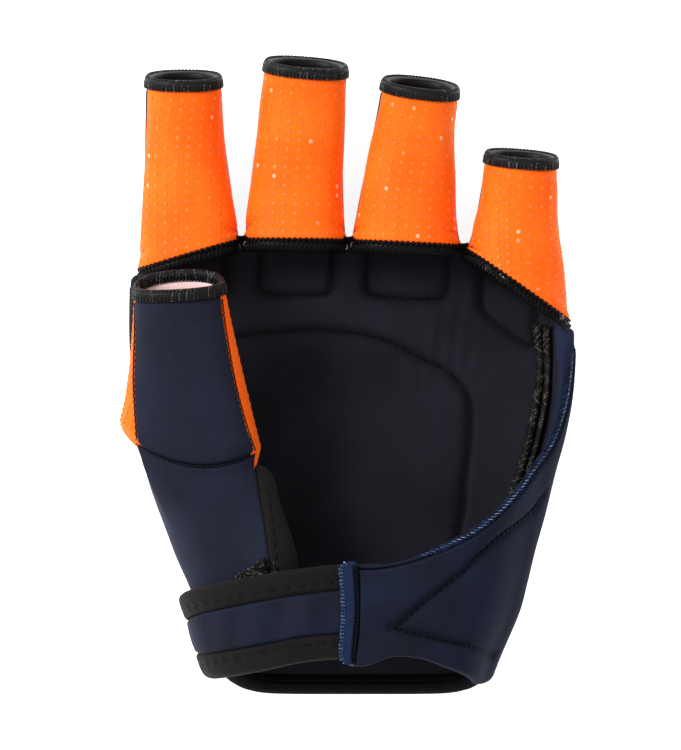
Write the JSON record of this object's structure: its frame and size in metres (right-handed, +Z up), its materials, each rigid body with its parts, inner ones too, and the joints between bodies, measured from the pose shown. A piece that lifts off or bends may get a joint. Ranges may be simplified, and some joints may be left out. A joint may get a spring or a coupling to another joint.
{
  "type": "field hockey glove",
  "caption": "Left-hand padded sports glove with open-tipped grip fingers, an open palm, a thumb sleeve over the palm and a wrist strap closed by a sweeping wing.",
  "frame": {"origin": "on the flat of the padded back, in the middle of the hand, where the glove rests", "axes": "+X across the hand towards the little finger, +Y from the cuff to the fingertips, +Z up out of the open palm"},
  "size_m": [0.1229, 0.1734, 0.0465],
  "materials": {
    "padded_back": "matt near-black navy knit over foam",
    "grip_cloth": "stretch cloth with small silicone dots",
    "thumb_cloth": "smooth matt sponge-backed knit",
    "strap_cloth": "sponge-backed brushed knit",
    "wing_cloth": "sponge-backed brushed knit",
    "edge_thread": "overlocked and overcast thread",
    "binding_tape": "folded knitted tape, topstitched",
    "elastic_black": "ribbed elastic and overlock thread",
    "loop_black": "napped loop patch"
  },
  "bodies": {
    "root": {"back_shell": "padded_back", "cuff_binding": "binding_tape", "side_binding": "elastic_black", "index_grip": "grip_cloth", "index_back": "padded_back", "index_rim": "elastic_black", "index_hem": "elastic_black", "middle_grip": "grip_cloth", "middle_back": "padded_back", "middle_rim": "elastic_black", "middle_hem": "elastic_black", "ring_grip": "grip_cloth", "ring_back": "padded_back", "ring_rim": "elastic_black", "ring_hem": "elastic_black", "little_grip": "grip_cloth", "little_back": "padded_back", "little_rim": "elastic_black", "little_hem": "elastic_black", "thumb_back": "thumb_cloth", "thumb_grip": "grip_cloth", "thumb_rim": "elastic_black", "thumb_panel": "thumb_cloth", "thumb_panel_binding": "binding_tape", "loop_patch": "loop_black", "strap": "strap_cloth", "strap_lower_binding": "binding_tape", "strap_upper_binding": "binding_tape", "wing": "wing_cloth", "wing_tab": "edge_thread", "wing_edge": "edge_thread", "side_seam_inner": "elastic_black", "side_seam_outer": "elastic_black"}
  },
  "joints": []
}
